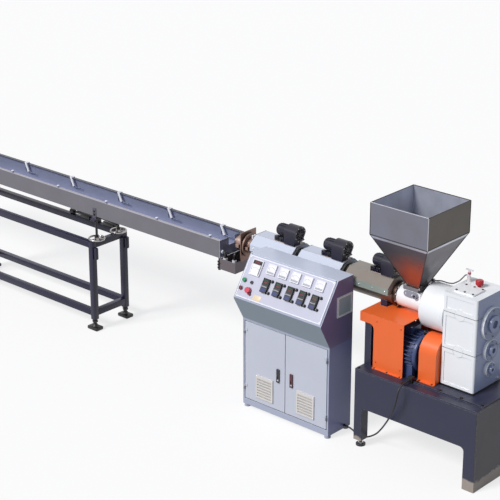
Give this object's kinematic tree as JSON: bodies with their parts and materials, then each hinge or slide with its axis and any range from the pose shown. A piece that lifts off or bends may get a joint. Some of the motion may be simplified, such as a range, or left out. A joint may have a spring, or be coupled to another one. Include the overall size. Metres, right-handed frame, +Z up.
{
  "type": "plastic extruder with control cabinet and cooling trough",
  "caption": "Plastic extruder line with geared drive, hopper, guarded barrel with blowers, control cabinet and a long cooling trough on a jacked stand.",
  "frame": {"origin": "on the floor under the middle of the line's box", "axes": "+X along the line towards the gearbox, +Y away from the operator, +Z up"},
  "size_m": [6.275, 0.752, 1.655],
  "materials": {
    "base_paint": "satin dark blue-grey paint",
    "motor_paint": "satin navy paint",
    "cover_orange": "satin orange paint",
    "case_white": "satin white paint on castings",
    "cover_grey": "satin blue-grey paint",
    "hopper_steel": "folded and welded sheet",
    "machined_steel": "turned",
    "heater_steel": "heater bands",
    "guard_paint": "satin pale blue-white paint",
    "blower_black": "semi-gloss black paint",
    "die_steel": "heat-tinted steel",
    "cabinet_paint": "satin blue-grey paint",
    "door_paint": "satin light blue-grey paint",
    "panel_plate": "white-lacquered plate",
    "instrument_white": "moulded bezels",
    "button_plastic": "moulded caps",
    "trough_stainless": "folded stainless sheet",
    "pipe_black": "moulded",
    "guide_chrome": "bright rod",
    "fitting_red": "moulded caps",
    "stand_paint": "satin navy paint",
    "lead_rubber": "sheathed lead"
  },
  "bodies": {
    "root": {"base_deck": "base_paint", "base_side_plates": "base_paint", "base_end_pedestal": "base_paint", "base_left_legs": "base_paint", "barrel_pedestal": "base_paint", "motor_cover": "cover_orange", "main_motor": "motor_paint", "shaft_coupling": "machined_steel", "coupling_guard": "cover_orange", "gearbox_lower_case": "case_white", "gearbox_middle_case": "case_white", "gearbox_top_case": "case_white", "gearbox_lid": "case_white", "bearing_covers": "cover_grey", "oil_fittings": "fitting_red", "thrust_housing": "case_white", "feed_housing": "case_white", "jacket_cover": "cover_grey", "hopper_throat": "machined_steel", "hopper_cone": "hopper_steel", "hopper_bin": "hopper_steel", "barrel": "machined_steel", "barrel_heaters": "heater_steel", "die_head": "die_steel", "die_plate": "die_steel", "cabinet_body": "cabinet_paint", "door_hinges": "machined_steel", "control_panel": "panel_plate", "panel_instruments": "instrument_white", "panel_buttons": "button_plastic", "trough_channel": "trough_stainless", "drip_box": "trough_stainless", "drain_pipe": "pipe_black", "profile_guides": "guide_chrome", "stand_legs": "stand_paint", "stand_long_rails": "stand_paint", "stand_cross_rails": "stand_paint", "trough_saddle_right": "stand_paint", "trough_saddle_left": "stand_paint", "motor_lead_glands": "pipe_black", "barrel_guard_1": "guard_paint", "blower_1": "blower_black", "barrel_guard_2": "guard_paint", "blower_2": "blower_black", "barrel_guard_3": "guard_paint", "blower_3": "blower_black", "motor_lead": "lead_rubber"},
    "left_door": {"cabinet_door_left": "door_paint"},
    "right_door": {"cabinet_door_right": "door_paint"},
    "gate": {"slide_gate": "machined_steel"},
    "wheel_right_front": {"handwheel_right_front": "guide_chrome"},
    "wheel_right_back": {"handwheel_right_back": "guide_chrome"},
    "wheel_left_front": {"handwheel_left_front": "guide_chrome"},
    "wheel_left_back": {"handwheel_left_back": "guide_chrome"}
  },
  "joints": [
    {"name": "left_door_hinge", "type": "hinge", "parent": "root", "child": "left_door", "pos_m": [1.303, -0.29, 0.357], "axis": [0, 0, -1], "range_deg": [0, 110]},
    {"name": "right_door_hinge", "type": "hinge", "parent": "root", "child": "right_door", "pos_m": [2.013, -0.29, 0.357], "axis": [0, 0, 1], "range_deg": [0, 110]},
    {"name": "gate_slide", "type": "slide", "parent": "root", "child": "gate", "axis": [0, 1, 0], "range_m": [-0.066, 0]},
    {"name": "wheel_right_front_spin", "type": "hinge", "parent": "root", "child": "wheel_right_front", "pos_m": [-0.3845, -0.039, 0.714], "axis": [0, 0, 1], "continuous": true},
    {"name": "wheel_right_back_spin", "type": "hinge", "parent": "root", "child": "wheel_right_back", "pos_m": [-0.3845, 0.181, 0.714], "axis": [0, 0, 1], "continuous": true},
    {"name": "wheel_left_front_spin", "type": "hinge", "parent": "root", "child": "wheel_left_front", "pos_m": [-1.9245, -0.039, 0.714], "axis": [0, 0, 1], "continuous": true},
    {"name": "wheel_left_back_spin", "type": "hinge", "parent": "root", "child": "wheel_left_back", "pos_m": [-1.9245, 0.181, 0.714], "axis": [0, 0, 1], "continuous": true}
  ]
}
